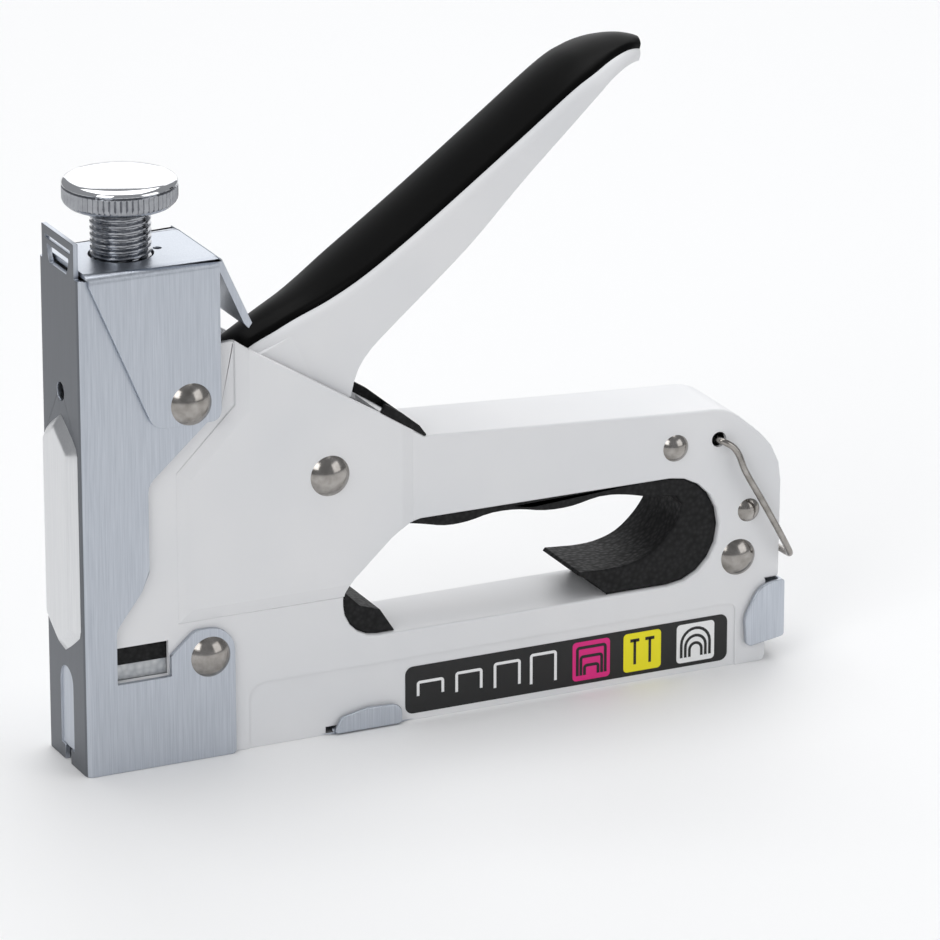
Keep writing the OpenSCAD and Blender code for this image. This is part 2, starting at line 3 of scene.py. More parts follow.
import bmesh
import bpy
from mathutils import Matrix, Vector


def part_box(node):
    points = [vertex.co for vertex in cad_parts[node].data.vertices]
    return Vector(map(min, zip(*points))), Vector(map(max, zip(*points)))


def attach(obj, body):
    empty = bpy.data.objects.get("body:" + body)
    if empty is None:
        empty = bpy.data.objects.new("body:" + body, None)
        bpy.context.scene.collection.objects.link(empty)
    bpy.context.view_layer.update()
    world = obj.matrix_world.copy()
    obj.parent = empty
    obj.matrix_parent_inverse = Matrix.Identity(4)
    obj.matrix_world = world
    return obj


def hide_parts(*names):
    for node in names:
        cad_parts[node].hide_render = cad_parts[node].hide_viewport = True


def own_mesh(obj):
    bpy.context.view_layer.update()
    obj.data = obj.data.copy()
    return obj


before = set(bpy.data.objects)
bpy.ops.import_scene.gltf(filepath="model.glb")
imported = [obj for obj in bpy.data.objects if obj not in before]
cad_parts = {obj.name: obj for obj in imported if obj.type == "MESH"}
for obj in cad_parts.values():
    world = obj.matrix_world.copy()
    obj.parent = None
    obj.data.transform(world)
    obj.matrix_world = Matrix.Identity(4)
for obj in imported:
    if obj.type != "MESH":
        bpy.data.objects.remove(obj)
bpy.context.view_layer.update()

# ---------------------------------------------------------------------------------------------
# Studio. A white sweep of a floor, a wide overhead softbox, a key from the front left and a
# low fill from the front right; the walls stay dim so that polished parts have something dark
# to mirror. The camera looks down on the left side from in front of the nose.
# ---------------------------------------------------------------------------------------------
mm = 0.001
scene = bpy.context.scene
scene.view_settings.view_transform = "Standard"


def linear(code):
    """An sRGB hex colour as linear red, green, blue and alpha."""
    parts = [int(code[i:i + 2], 16) / 255 for i in (0, 2, 4)]
    return [p / 12.92 if p <= 0.04045 else ((p + 0.055) / 1.055) ** 2.4 for p in parts] + [1.0]


def add(tree, kind, settings, links):
    """A node with its settings, and its inputs linked to the outputs given."""
    node = tree.nodes.new(kind)
    for key, value in settings.items():
        if hasattr(node, key):
            setattr(node, key, value)
        else:
            node.inputs[key].default_value = value
    for key, output in links.items():
        tree.links.new(output, node.inputs[key])
    return node


def shader(name, settings):
    """A new material with one principled shader: (material, node tree, shader, place in metres)."""
    made = bpy.data.materials.new(name)
    made.use_nodes = True
    tree = made.node_tree
    tree.nodes.clear()
    surface = add(tree, "ShaderNodeBsdfPrincipled", settings, {})
    add(tree, "ShaderNodeOutputMaterial", {}, {"Surface": surface.outputs["BSDF"]})
    place = add(tree, "ShaderNodeTexCoord", {}, {}).outputs["Object"]
    return made, tree, surface, place


eye = bpy.data.objects.new("camera", bpy.data.cameras.new("camera"))
eye.data.lens = 248.9
eye.data.sensor_width = 36
eye.data.clip_end = 20
eye.location = (-0.60284, -1.30187, 0.56307)
eye.rotation_euler = (radians(70.6), 0, radians(-25.3))
scene.collection.objects.link(eye)
scene.camera = eye

walls = bpy.data.worlds.new("studio_walls")
walls.use_nodes = True
scene.world = walls
walls.node_tree.nodes["Background"].inputs["Color"].default_value = linear("F4F6FA")
walls.node_tree.nodes["Background"].inputs["Strength"].default_value = 0.33


def softbox(name, size, watts, place, target=(0, 0, 0.06)):
    """A square white area light, sizes and places in metres, that faces the tool's middle."""
    lamp = bpy.data.objects.new(name, bpy.data.lights.new(name, "AREA"))
    lamp.data.size = size
    lamp.data.energy = watts
    lamp.location = place
    lamp.rotation_euler = (Vector(target) - Vector(place)).to_track_quat("-Z", "Y").to_euler()
    scene.collection.objects.link(lamp)


softbox("softbox_above", 1.6, 19, (0.1, 0.3, 1.7))
softbox("softbox_key", 0.9, 7.5, (-1.3, -0.9, 1.1))
softbox("softbox_fill", 1.1, 5, (1.1, -1.3, 0.7))
softbox("softbox_back", 1.7, 11, (0.95, 1.87, 0.9))

# matt painted board: it spreads the light and keeps only a soft shadow under the tool
floor_white, tree, surface, place = shader("floor_white", {"Base Color": linear("F7F7F7"), "Roughness": 0.6})
grain = add(tree, "ShaderNodeTexNoise", {"Scale": 1 / (4 * mm), "Detail": 3.0}, {"Vector": place})
bump = add(tree, "ShaderNodeBump", {"Strength": 0.02, "Distance": 0.1 * mm}, {"Height": grain.outputs["Fac"]})
tree.links.new(bump.outputs["Normal"], surface.inputs["Normal"])
floor_half = 4.0
floor_drop = 0.05 * mm
floor = bpy.data.objects.new("floor", bpy.data.meshes.new("floor"))
floor.data.from_pydata([(-floor_half, -floor_half, 0), (floor_half, -floor_half, 0),
                        (floor_half, floor_half, 0), (-floor_half, floor_half, 0)], [], [(0, 1, 2, 3)])
floor.data.materials.append(floor_white)
floor.location.z = -floor_drop
scene.collection.objects.link(floor)

# ---------------------------------------------------------------------------------------------
# Pressed shells. The left and right halves of the body are pressings of 1.2 mm steel sheet,
# powder coated white. The coat is a satin skin with a faint orange peel; press bends are round.
# ---------------------------------------------------------------------------------------------
rib_h = 2.0
nose_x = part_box("front_guard")[0].x + rib_h * mm

powder_white, tree, surface, place = shader("powder_coat_white",
                                            {"Roughness": 0.38, "Specular IOR Level": 0.5})
cloud = add(tree, "ShaderNodeTexNoise", {"Scale": 1 / (35 * mm), "Detail": 2.0}, {"Vector": place})
tone = add(tree, "ShaderNodeValToRGB", {}, {"Fac": cloud.outputs["Fac"]})
tone.color_ramp.elements[0].position = 0.3
tone.color_ramp.elements[0].color = linear("E4E5E7")
tone.color_ramp.elements[1].position = 0.7
tone.color_ramp.elements[1].color = linear("EBEBEC")
tree.links.new(tone.outputs["Color"], surface.inputs["Base Color"])
peel = add(tree, "ShaderNodeTexNoise", {"Scale": 1 / (1.1 * mm), "Detail": 1.0}, {"Vector": place})
bump = add(tree, "ShaderNodeBump", {"Strength": 0.12, "Distance": 0.02 * mm}, {"Height": peel.outputs["Fac"]})
tree.links.new(bump.outputs["Normal"], surface.inputs["Normal"])


def settle(name, mesh, materials, angle=35):
    """A shown piece from a finished mesh, shaded smooth up to the angle given."""
    mesh.materials.clear()
    for finish in materials:
        mesh.materials.append(finish)
    mesh.polygons.foreach_set("use_smooth", [True] * len(mesh.polygons))
    mesh.set_sharp_from_angle(angle=radians(angle))
    piece = bpy.data.objects.new(name, mesh)
    scene.collection.objects.link(piece)
    normals = piece.modifiers.new("even_normals", "WEIGHTED_NORMAL")
    normals.keep_sharp = True
    return piece


def eased(node, radius, steps=3, angle=30, weight=None, whole=True):
    """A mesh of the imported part, with edges over an angle in degrees eased to a radius in mm.
    weight gives each edge's share of the radius from its two ends; whole first joins up flat faces."""
    work = bmesh.new()
    work.from_mesh(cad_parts[node].data)
    bmesh.ops.remove_doubles(work, verts=work.verts, dist=0.002 * mm)
    if whole:
        bmesh.ops.dissolve_limit(work, angle_limit=radians(0.6), verts=work.verts, edges=work.edges)
    bmesh.ops.dissolve_degenerate(work, edges=work.edges, dist=0.01 * mm)
    layer = work.edges.layers.float.new("bevel_weight_edge")
    for edge in work.edges:
        if len(edge.link_faces) == 2 and edge.calc_face_angle(0) > radians(angle):
            edge[layer] = weight(edge.verts[0].co, edge.verts[1].co) if weight else 1.0
    rough = bpy.data.meshes.new(node)
    work.to_mesh(rough)
    work.free()
    holder = bpy.data.objects.new(node + "_rough", rough)
    scene.collection.objects.link(holder)
    bevel = holder.modifiers.new("ease", "BEVEL")
    bevel.limit_method = "WEIGHT"
    bevel.width = radius * mm
    bevel.segments = steps
    bevel.use_clamp_overlap = False
    bevel.miter_outer = "MITER_ARC"
    graph = bpy.context.evaluated_depsgraph_get()
    done = bpy.data.meshes.new_from_object(holder.evaluated_get(graph))
    bpy.data.objects.remove(holder)
    return done


# edges that stay sharp: circles round the holes under rivets and wire and round the two corners
# where panel and loop meet, as distance behind the nose plate, height and radius
covered = [(61.5, 64.5, 4), (26.5, 87.5, 4), (31, 25, 4), (151.5, 57.5, 3), (171.2, 39, 3),
           (168.5, 27.5, 3.6), (163, 58, 2.4), (80, 50, 3.5), (67, 37, 3.5)]
shell_face = 10.7
guard_edge = 34
rail_top = 17
panel_back = 84
panel_foot = 30


def shell_ease(a, b):
    """Full radius along the outer bends, half around the raised panel, none at holes and seam."""
    outer = min(abs(a.y), abs(b.y)) / mm
    back, low = (max(a.x, b.x) - nose_x) / mm, min(a.z, b.z) / mm
    if abs(a.y - b.y) > 0.01 * mm or outer < shell_face or low < rail_top or back < guard_edge:
        return 0
    if any(sqrt((back - x) ** 2 + (low - z) ** 2) < r for x, z, r in covered):
        return 0
    return 0.5 if back < panel_back and low > panel_foot else 1.0


for side_name in ("left_shell", "right_shell"):
    shell = settle(side_name + "_coated", eased(side_name, 0.6, 4, 14, shell_ease), [powder_white], 28)
    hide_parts(side_name)
    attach(shell, "frame")

# ---------------------------------------------------------------------------------------------
# Nose guard. One folded steel plate, brushed along its height and clear plated, wraps the front
# and both sides of the nose. Its front face is rolled smooth and darkened as painted shade, with
# a pressed rib lightened as painted highlight.
# ---------------------------------------------------------------------------------------------
def at(x, y, z):
    """A point from its distance behind the nose plate, to the side and above the base, in mm."""
    return Vector((nose_x + x * mm, y * mm, z * mm))


def brushed(name, dark, light, rough, depth):
    """Brushed steel plate: scratches run up and down, so it is streaked and softly shiny.
    The scratches are drawn 0.3 mm apart, coarser than the real ones, so that they show."""
    finish, tree, surface, place = shader(name, {"Metallic": 1.0, "Roughness": rough})
    along = add(tree, "ShaderNodeMapping", {"Scale": (1 / (0.3 * mm), 1 / (0.3 * mm), 1 / (14 * mm))},
                {"Vector": place})
    streak = add(tree, "ShaderNodeTexNoise", {"Scale": 1.0, "Detail": 4.0, "Roughness": 0.6},
                 {"Vector": along.outputs["Vector"]})
    tone = add(tree, "ShaderNodeValToRGB", {}, {"Fac": streak.outputs["Fac"]})
    tone.color_ramp.elements[0].position = 0.28
    tone.color_ramp.elements[0].color = linear(dark)
    tone.color_ramp.elements[1].position = 0.72
    tone.color_ramp.elements[1].color = linear(light)
    tree.links.new(tone.outputs["Color"], surface.inputs["Base Color"])
    shine = add(tree, "ShaderNodeMapRange", {"To Min": rough - 0.05, "To Max": rough + 0.08},
                {"Value": streak.outputs["Fac"]})
    tree.links.new(shine.outputs["Result"], surface.inputs["Roughness"])
    bump = add(tree, "ShaderNodeBump", {"Strength": depth, "Distance": 0.03 * mm},
               {"Height": streak.outputs["Fac"]})
    tree.links.new(bump.outputs["Normal"], surface.inputs["Normal"])
    return finish


brushed_steel = brushed("brushed_plated_steel", "B3B9C2", "C9CED6", 0.34, 0.25)
# painted shade: a darker copy of the brushed steel for the nose's forward face
nose_painted_shade_steel = brushed("nose_steel_painted_shade", "6C6F74", "787B80", 0.42, 0.06)
# painted highlight: a lighter copy of the brushed steel for the rib
rib_painted_highlight_steel = brushed("rib_steel_painted_highlight", "D9DADC", "E4E5E6", 0.3, 0.1)


def skin(name, rings):
    """A closed mesh through rings of equal count, each joined to the next, with both ends capped."""
    work = bmesh.new()
    rows = [[work.verts.new(point) for point in ring] for ring in rings]
    count = len(rows[0])
    for a, b in zip(rows, rows[1:]):
        for i in range(count):
            work.faces.new((a[i], a[(i + 1) % count], b[(i + 1) % count], b[i]))
    work.faces.new(list(reversed(rows[0])))
    work.faces.new(rows[-1])
    bmesh.ops.remove_doubles(work, verts=work.verts, dist=0.001 * mm)
    bmesh.ops.recalc_face_normals(work, faces=work.faces)
    mesh = bpy.data.meshes.new(name)
    work.to_mesh(mesh)
    work.free()
    return mesh


def joined(name, meshes):
    """Several meshes as one."""
    work = bmesh.new()
    for mesh in meshes:
        work.from_mesh(mesh)
        bpy.data.meshes.remove(mesh)
    mesh = bpy.data.meshes.new(name)
    work.to_mesh(mesh)
    work.free()
    return mesh


# half outline of the rib's foot, across and up
rib_half = [(0, 27.6), (3.2, 29.5), (6.4, 31.6), (8.8, 33.3), (9.55, 35.2), (9.55, 38), (9.55, 75),
            (9.55, 77.4), (8.8, 79.2), (6.4, 81), (3.2, 83), (0, 84.9)]
# how far the rib stands behind the plate's face, and how far its outline has moved in by then
rib_steps = [(0.3, 0), (-0.05, 0.02), (-0.5, 0.6), (-1.0, 1.25), (-1.45, 1.85), (-1.75, 2.3), (-1.93, 2.8),
             (-rib_h, 3.4)]
# places among the guard's materials of the darker steel that is painted shade on the nose face and
# of the lighter steel that is painted highlight on the rib; the brushed one is first
PAINTED_SHADE, PAINTED_HIGHLIGHT = 1, 2


def inset_line(points, amount):
    """A closed line moved inward by so much; its corners run anticlockwise."""
    moved = []
    for i, point in enumerate(points):
        before, after = Vector(points[i - 1]), Vector(points[(i + 1) % len(points)])
        a, b = (Vector(point) - before).normalized(), (after - Vector(point)).normalized()
        na, nb = Vector((-a.y, a.x)), Vector((-b.y, b.x))
        shift = (na + nb) / max(0.4, 1 + na.dot(nb)) * amount
        moved.append((point[0] + shift.x, point[1] + shift.y))
    return moved


plate = eased("front_guard", 0.12, 2, 25, None, False)
work = bmesh.new()
work.from_mesh(plate)
flat_rib = [f for f in work.faces if f.calc_center_median().x < nose_x - 0.2 * mm and f.normal.x < -0.1]
bmesh.ops.delete(work, geom=flat_rib, context="FACES")
work.to_mesh(plate)
work.free()
plate_faces = len(plate.polygons)
rib_foot = [(y, z) for y, z in rib_half] + [(-y, z) for y, z in reversed(rib_half[1:-1])]
rib = skin("nose_rib", [[at(x, y, z) for y, z in inset_line(rib_foot, t)] for x, t in rib_steps])
guard = settle("front_guard_plate", joined("front_guard_plate", [plate, rib]),
               [brushed_steel, nose_painted_shade_steel, rib_painted_highlight_steel], 42)
for face in guard.data.polygons:
    # rib faces take the lighter steel as painted highlight
    if face.index >= plate_faces:
        face.material_index = PAINTED_HIGHLIGHT
    # plate faces that face forward take the darker steel as painted shade
    elif face.normal.x < -0.75 and face.center.x < nose_x + 0.3 * mm:
        face.material_index = PAINTED_SHADE
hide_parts("front_guard")
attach(guard, "frame")

# ---------------------------------------------------------------------------------------------
# Top cover. A second brushed steel plate is folded over the top of the nose: two flared side
# plates under the upper rivet and a lip at the back that shields the lever.
# ---------------------------------------------------------------------------------------------
cover = settle("top_cover_plate", eased("top_cover", 0.12, 2, 25), [brushed_steel])
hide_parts("top_cover")
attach(cover, "frame")

# ---------------------------------------------------------------------------------------------
# Tension knob. Turned steel, chromed: a shallow dome over a straight-knurled rim, and a coarse
# screw that presses the spring seat down. Chrome mirrors the studio almost without a tint.
# ---------------------------------------------------------------------------------------------
chrome, tree, surface, place = shader("polished_chrome", {"Metallic": 1.0, "Roughness": 0.07})
haze = add(tree, "ShaderNodeTexNoise", {"Scale": 1 / (6 * mm), "Detail": 3.0}, {"Vector": place})
tone = add(tree, "ShaderNodeValToRGB", {}, {"Fac": haze.outputs["Fac"]})
tone.color_ramp.elements[0].color = linear("DADCDF")
tone.color_ramp.elements[1].color = linear("EDEEF0")
tree.links.new(tone.outputs["Color"], surface.inputs["Base Color"])
shine = add(tree, "ShaderNodeMapRange", {"To Min": 0.05, "To Max": 0.1}, {"Value": haze.outputs["Fac"]})
tree.links.new(shine.outputs["Result"], surface.inputs["Roughness"])

screw_axis = 15.4
knob_base = 132.2
knob_band = 137.75
flutes = 60
flute_depth = 0.45
# radius, height and share of the knurl at each step from the neck to the middle of the dome
knob_profile = [(5.5, knob_base, 0), (8.5, knob_base, 0), (10.6, 132.5, 0), (12.1, 133.1, 0),
                (12.9, 133.9, 0.2), (13.2, 134.5, 1), (13.25, 134.9, 1), (13.25, 137.1, 1),
                (13.2, 137.4, 0.2), (12.85, 137.65, 0), (13.1, 137.85, 0), (13.25, 138.1, 0),
                (13.15, 138.5, 0), (12.7, 138.95, 0), (11.6, 139.4, 0), (9.0, 139.85, 0), (6.0, 140.12, 0),
                (3.0, 140.25, 0), (0, 140.3, 0)]
flute_points = 6
rings = []
for radius, height, share in knob_profile:
    ring = []
    for i in range(flutes * flute_points):
        turn = 2 * pi * i / (flutes * flute_points)
        cut = share * flute_depth * (0.5 - 0.5 * cos(flutes * turn)) ** 2
        ring.append(at(screw_axis + (radius - cut) * cos(turn), (radius - cut) * sin(turn), height))
    rings.append(ring)
knob_head = skin("knob_head", rings)

# the thread's crest winds up the shank by one pitch a turn, and ends just inside the head
thread_r = 7.0
thread_depth = 0.8
pitch = 1.5
rows_per_turn = 12
thread_points = 48
screw_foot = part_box("tension_knob")[0].z / mm
thread_top = knob_base + 0.3
rings = []
for row in range(ceil((thread_top - screw_foot) / pitch) * rows_per_turn + 1):
    height = min(screw_foot + row * pitch / rows_per_turn, thread_top)
    ring = []
    for i in range(thread_points):
        turn = 2 * pi * i / thread_points
        wave = (height / pitch - i / thread_points) % 1
        crest = min(1.0, max(0.0, 1.6 - abs(wave - 0.5) * 4))
        radius = thread_r - thread_depth * (1 - crest)
        ring.append(at(screw_axis + radius * cos(turn), radius * sin(turn), height))
    rings.append(ring)

# chrome over the knurl and the thread, rubbed by fingers and grease: greyer and less sharp
knurled, tree, surface, place = shader("knurled_chrome", {"Metallic": 1.0, "Roughness": 0.16})
wear = add(tree, "ShaderNodeTexNoise", {"Scale": 1 / (1.5 * mm), "Detail": 3.0}, {"Vector": place})
tone = add(tree, "ShaderNodeValToRGB", {}, {"Fac": wear.outputs["Fac"]})
tone.color_ramp.elements[0].color = linear("83858A")
tone.color_ramp.elements[1].color = linear("B9BBBF")
tree.links.new(tone.outputs["Color"], surface.inputs["Base Color"])
shine = add(tree, "ShaderNodeMapRange", {"To Min": 0.1, "To Max": 0.24}, {"Value": wear.outputs["Fac"]})
tree.links.new(shine.outputs["Result"], surface.inputs["Roughness"])
knob = settle("tension_knob_turned", joined("tension_knob_turned", [knob_head, skin("knob_thread", rings)]),
              [chrome, knurled], 40)
for face in knob.data.polygons:
    if face.center.z < knob_band * mm:
        face.material_index = 1
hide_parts("tension_knob")
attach(knob, "knob")

# ---------------------------------------------------------------------------------------------
# Rivets. Six nickelled steel rivets with domed heads hold the shells, the guard and the cover.
# Dark nickel is polished and slightly warm, with a bright spot and dark edges.
# ---------------------------------------------------------------------------------------------
dark_nickel, tree, surface, place = shader("dark_nickel", {"Metallic": 1.0, "Roughness": 0.16})
haze = add(tree, "ShaderNodeTexNoise", {"Scale": 1 / (2.5 * mm), "Detail": 4.0}, {"Vector": place})
tone = add(tree, "ShaderNodeValToRGB", {}, {"Fac": haze.outputs["Fac"]})
tone.color_ramp.elements[0].position = 0.3
tone.color_ramp.elements[0].color = linear("8B8782")
tone.color_ramp.elements[1].position = 0.75
tone.color_ramp.elements[1].color = linear("B4B0AC")
tree.links.new(tone.outputs["Color"], surface.inputs["Base Color"])
shine = add(tree, "ShaderNodeMapRange", {"To Min": 0.12, "To Max": 0.24}, {"Value": haze.outputs["Fac"]})
tree.links.new(shine.outputs["Result"], surface.inputs["Roughness"])


rivet_points = 56
head_steps = 10


def rivet(x, z, shank, head, rise, face):
    """A rivet across the tool: shank radius, head radius, how far the head stands out of its face."""
    ball = (head ** 2 + rise ** 2) / (2 * rise)
    dome = [(ball * sin(a), face + rise - ball * (1 - cos(a)))
            for a in (asin(head / ball) * i / head_steps for i in range(head_steps + 1))]
    half = dome + [(head, face), (head - 0.1, face - 0.06), (shank, face - 0.06)]
    profile = half + [(r, -h) for r, h in reversed(half)]
    round_turn = [2 * pi * i / rivet_points for i in range(rivet_points)]
    return skin("rivet", [[at(x + r * cos(a), h, z + r * sin(a)) for a in round_turn] for r, h in profile])


# where each rivet goes through, its shank, head radius and rise, and the face that it clamps
rivet_sets = {
    "pivot_rivet": [(61.5, 64.5, 3.0, 4.9, 2.2, 11.85)],
    "cover_rivet": [(26.5, 87.5, 3.0, 5.0, 2.2, 13.45)],
    "guard_rivet": [(31, 25, 3.0, 4.9, 2.2, 12.05)],
    "bar_rivet": [(151.5, 57.5, 2.0, 3.3, 1.6, 10.75)],
    "rear_rivets": [(171.2, 39, 2.0, 2.9, 1.2, 10.75), (168.5, 27.5, 2.6, 4.5, 1.9, 10.75)],
}
for node, places in rivet_sets.items():
    piece = settle(node + "_domed", joined(node + "_domed", [rivet(*place) for place in places]),
                   [dark_nickel], 40)
    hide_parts(node)
    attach(piece, "frame")

# ---------------------------------------------------------------------------------------------
# Lever. Pressed steel like the shells and coated the same white: a channel open underneath,
# narrow where it enters the body and wide at the hand, with a rounded back and a cut tip.
# ---------------------------------------------------------------------------------------------
# side view, behind the nose plate and above the base: the back from heel to tip, and the flanges'
# lower edge from the tip to the pivot
crown = [(37.6, 91.6), (42.9, 95.9), (51.7, 100.6), (64.6, 107.3), (84.2, 120.2), (108.8, 138),
         (124.2, 149.3), (131.9, 153.7), (138.4, 155.4), (143.4, 155), (148.2, 152.6)]
under = [(146.8, 150.2), (143.6, 152), (139.6, 152.4), (135.6, 151.2), (131.2, 148.6), (122.8, 140.9),
         (110.1, 128.9), (97.6, 116.2), (85, 105.2), (77, 98.1), (72, 92.7), (69.3, 87.8), (67.8, 80.3)]
# the lever's own line in that view, and its half width at distances along it
heel = Vector((43, 96))
lean = Vector((cos(radians(36.7)), sin(radians(36.7))))
tip_reach = 116.8
half_widths = [(-60, 7.2), (-4, 7.2), (8, 8.2), (15, 8.9), (23, 10.6), (34, 12), (60, 12.3), (96, 12.4),
               (104, 11.8), (110.5, 9.6), (114.5, 7.2), (tip_reach, 4.6)]
sheet = 1.3


def spline(points, steps):
    """A smooth line through the points, with so many steps to a stretch."""
    line = []
    last = len(points) - 1
    for i in range(last):
        a, b, c, d = (Vector(points[j]) for j in (max(0, i - 1), i, i + 1, min(last, i + 2)))
        for s in range(steps):
            t = s / steps
            line.append(0.5 * (2 * b + (c - a) * t + (2 * a - 5 * b + 4 * c - d) * t ** 2
                               + (3 * b - a - 3 * c + d) * t ** 3))
    return line + [Vector(points[last])]


def along(point):
    """How far a point of the side view lies along the lever from its heel."""
    return (point - heel).dot(lean)


plan = spline(half_widths, 4)
belly = spline(under, 4) + [Vector((66, 82)), Vector((50, 88)), Vector((37.6, 91.6))]


def half_width(reach):
    """Half width of the lever so far along it."""
    for a, b in zip(plan, plan[1:]):
        if a.x <= reach <= b.x:
            return a.y + (b.y - a.y) * (reach - a.x) / (b.x - a.x)
    return plan[-1].y


deepest = 60.0
tip_depth = 2.6


def depth_below(point, inward):
    """How far the lever's flanges reach inward from a point on its crown."""
    best = deepest
    for a, b in zip(belly, belly[1:]):
        side = b - a
        cross = inward.x * side.y - inward.y * side.x
        if abs(cross) > 1e-9:
            reach = ((a.x - point.x) * side.y - (a.y - point.y) * side.x) / cross
            share = ((a.x - point.x) * inward.y - (a.y - point.y) * inward.x) / cross
            if reach > 0.3 and -0.001 <= share <= 1.001:
                best = min(best, reach)
    return best if best < deepest else tip_depth


# side point, inward direction, half width, flange depth and bend radius at each step
back = [p for p in spline(crown, 8) if along(p) <= tip_reach]
stations = []
for i, point in enumerate(back):
    run = (back[min(i + 1, len(back) - 1)] - back[max(i - 1, 0)]).normalized()
    inward = Vector((run.y, -run.x))
    wide = half_width(along(point))
    deep = depth_below(point, inward)
    bend = 2.8 + 2.4 * max(0.0, (along(point) - 98) / 20)
    stations.append((point, inward, wide, deep, min(bend, 0.8 * wide, 0.85 * deep)))


def back_drop(y, wide, bend):
    """How far the lever's back has dropped below its crown at a distance y from the middle."""
    past = min(bend, max(0.0, abs(y) - (wide - bend)))
    return bend - sqrt(bend ** 2 - past ** 2)


def section(station, points):
    """Points (across, inward) of a station as places in the frame."""
    point, inward = station[0], station[1]
    return [at(point.x + inward.x * d, y, point.y + inward.y * d) for y, d in points]


def lever_ring(station):
    """Section of the channel: one flange's foot, over the back to the other foot, and back inside."""
    wide, deep, bend = station[2:]
    wall = min(sheet, 0.45 * deep, 0.4 * wide)
    half = [(wide, deep), (wide, bend + (deep - bend) * 0.5)]
    half += [(wide - bend * (1 - cos(a)), bend * (1 - sin(a))) for a in (i * pi / 16 for i in range(9))]
    half += [((wide - bend) * 0.5, 0.0)]
    inner_bend = max(0.3, bend - wall)
    cave = [(wide - wall, deep), (wide - wall, bend + (deep - bend) * 0.5)]
    cave += [(wide - wall - inner_bend * (1 - cos(a)), wall + inner_bend * (1 - sin(a)))
             for a in (i * pi / 16 for i in range(9))]
    cave += [((wide - bend) * 0.5, wall)]
    outside = [(-y, d) for y, d in half] + list(reversed(half))
    inside = cave + [(-y, d) for y, d in reversed(cave)]
    return section(station, outside + inside)


def slab(name, outline, low, high, ease):
    """A plate in the side view between two distances from the middle, with eased edges."""
    tight = inset_line(outline, ease)
    levels = [(tight, low), (outline, low + ease), (outline, high - ease), (tight, high)]
    return skin(name, [[at(x, y, z) for x, z in line] for line, y in levels])


# two cheeks inside the body carry the pivot and reach forward to the roller that lifts the hammer
pivot = (61.5, 64.5)
pivot_eye = 9
roller_arm = 30
roller_drop = radians(22.5)
roller = (pivot[0] - roller_arm * cos(roller_drop), pivot[1] - roller_arm * sin(roller_drop))
roller_eye = 5.2
cheek_out, cheek_in, cheek_ease = 8.4, 6.9, 0.15


def bow(middle, radius, first, last, step):
    """Points of an arc in the side view, from one angle to another in degrees."""
    return [(middle[0] + radius * cos(radians(a)), middle[1] + radius * sin(radians(a)))
            for a in range(first, last, step)]


cheek = [(38.6, 90.6), (43.5, 94.2), (66, 104), (76, 99), (72, 92.7), (69.3, 87.8), (67.8, 80.3)]
cheek += bow(pivot, pivot_eye, 20, -81, -10) + bow(roller, roller_eye, -80, -206, -12)
cheek.reverse()
lever_parts = [skin("lever_shell", [lever_ring(s) for s in stations]),
               slab("cheek_left", cheek, -cheek_out, -cheek_in, cheek_ease),
               slab("cheek_right", cheek, cheek_in, cheek_out, cheek_ease)]
lever = settle("handle_lever_coated", joined("handle_lever_coated", lever_parts), [powder_white], 40)
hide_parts("handle_lever")
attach(lever, "lever")

# ---------------------------------------------------------------------------------------------
# Lever grip. A glossy black moulded plastic band clipped over the lever's back, arched along its
# middle and rounded at its edges, so that a line of the white lever shows on each side.
# ---------------------------------------------------------------------------------------------
black_plastic, tree, surface, place = shader("black_gloss_plastic",
                                             {"Roughness": 0.4, "Specular IOR Level": 0.06,
                                              "Coat Weight": 0.02, "Coat Roughness": 0.15})
cloud = add(tree, "ShaderNodeTexNoise", {"Scale": 1 / (9 * mm), "Detail": 4.0}, {"Vector": place})
tone = add(tree, "ShaderNodeValToRGB", {}, {"Fac": cloud.outputs["Fac"]})
tone.color_ramp.elements[0].color = linear("020202")
tone.color_ramp.elements[1].color = linear("060606")
tree.links.new(tone.outputs["Color"], surface.inputs["Base Color"])
shine = add(tree, "ShaderNodeMapRange", {"To Min": 0.34, "To Max": 0.46}, {"Value": cloud.outputs["Fac"]})
tree.links.new(shine.outputs["Result"], surface.inputs["Roughness"])
grain = add(tree, "ShaderNodeTexNoise", {"Scale": 1 / (0.5 * mm), "Detail": 2.0}, {"Vector": place})
bump = add(tree, "ShaderNodeBump", {"Strength": 0.08, "Distance": 0.02 * mm},
           {"Height": grain.outputs["Fac"]})
tree.links.new(bump.outputs["Normal"], surface.inputs["Normal"])

grip_margin = 1.6
grip_edge = 0.8
grip_arch = 1.5
grip_steps = 12
grip_first = 3


def grip_ring(station):
    """Section of the grip: flat below inside the lever's back, arched above."""
    wide, bend = station[2], station[4]
    reach = wide - grip_margin
    half = []
    for i in range(grip_steps + 1):
        y = reach * i / grip_steps
        rise = grip_edge * 0.45 if i == grip_steps else grip_edge + grip_arch * (1 - (i / grip_steps) ** 2)
        half.append((y, back_drop(y, wide, bend) - rise))
    half.append((reach, back_drop(reach, wide, bend) + 0.15))
    half.append((reach * 0.6, back_drop(reach * 0.6, wide, bend) + 0.3))
    return section(station, half + [(-y, d) for y, d in reversed(half) if y > 0])


grip_rings = [grip_ring(station) for station in stations[grip_first:]]
grip = settle("handle_grip_moulded", skin("handle_grip_moulded", grip_rings), [black_plastic], 50)
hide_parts("handle_grip")
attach(grip, "lever")

